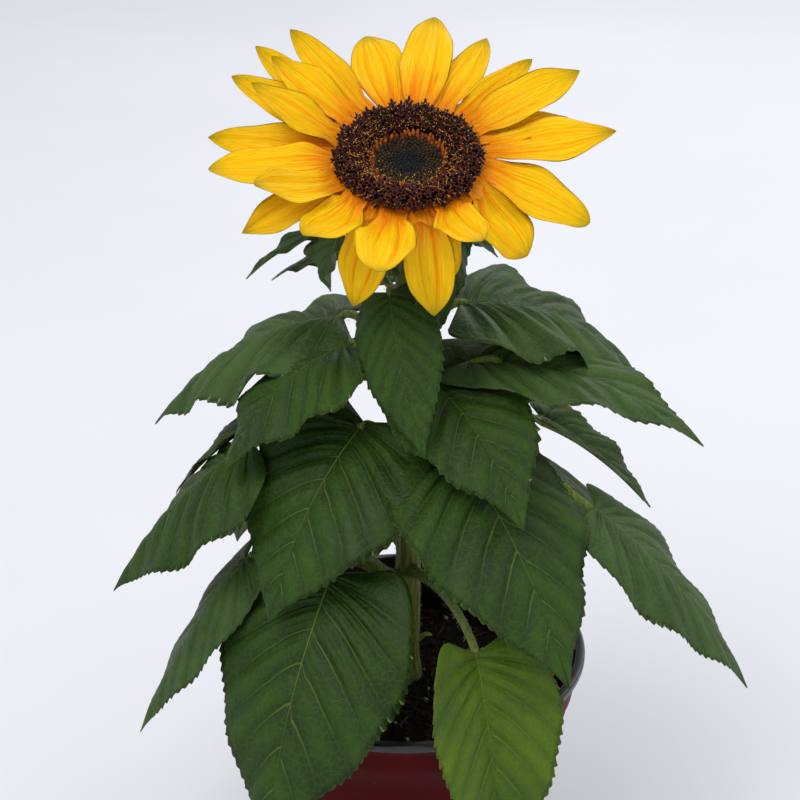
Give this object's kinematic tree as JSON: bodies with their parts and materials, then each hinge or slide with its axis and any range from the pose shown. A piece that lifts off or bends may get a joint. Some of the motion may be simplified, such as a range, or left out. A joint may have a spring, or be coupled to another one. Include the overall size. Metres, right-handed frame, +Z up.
{
  "type": "potted sunflower plant",
  "caption": "Dwarf sunflower in a round plastic pot, with one open flower head on an upright stem and broad toothed leaves on stalks all round.",
  "frame": {"origin": "centre of the pot's flat underside", "axes": "+Z up the stem, -Y towards the side that the flower faces, +X to the right when facing the flower"},
  "size_m": [0.258, 0.2039, 0.3788],
  "materials": {
    "pot": "satin",
    "compost": "matte",
    "stem": "satin",
    "leaf": "satin",
    "receptacle": "satin",
    "petal": "satin",
    "disc": "matte"
  },
  "bodies": {
    "root": {"pot": "pot", "soil": "compost", "stem": "stem", "receptacle": "receptacle", "disc": "disc", "petal_01": "petal", "petal_02": "petal", "petal_03": "petal", "petal_04": "petal", "petal_05": "petal", "petal_06": "petal", "petal_07": "petal", "petal_08": "petal", "petal_09": "petal", "petal_10": "petal", "petal_11": "petal", "petal_12": "petal", "petal_13": "petal", "petal_14": "petal", "petal_15": "petal", "petal_16": "petal", "petal_17": "petal", "petal_18": "petal", "petal_19": "petal", "petal_20": "petal", "petal_21": "petal", "petal_22": "petal", "petal_23": "petal", "petal_24": "petal", "leaf_front_low_left": "leaf", "leaf_front_low_right": "leaf", "leaf_front_right": "leaf", "leaf_right_low": "leaf", "leaf_front_left": "leaf", "leaf_left": "leaf", "leaf_left_low": "leaf", "leaf_upper_left_front": "leaf", "leaf_upper_left": "leaf", "leaf_upper_right": "leaf", "leaf_right": "leaf", "leaf_right_small": "leaf", "leaf_front_upper_right": "leaf", "leaf_front_top": "leaf", "leaf_top_right": "leaf", "leaf_top_left": "leaf", "leaf_top_left_narrow": "leaf", "leaf_top_left_small": "leaf", "leaf_top_back_right": "leaf", "leaf_left_back": "leaf", "leaf_back_right_low": "leaf", "leaf_back_low": "leaf", "leaf_back_left_low": "leaf", "leaf_back_right": "leaf", "leaf_back_left": "leaf", "leaf_back_top": "leaf"}
  },
  "joints": []
}
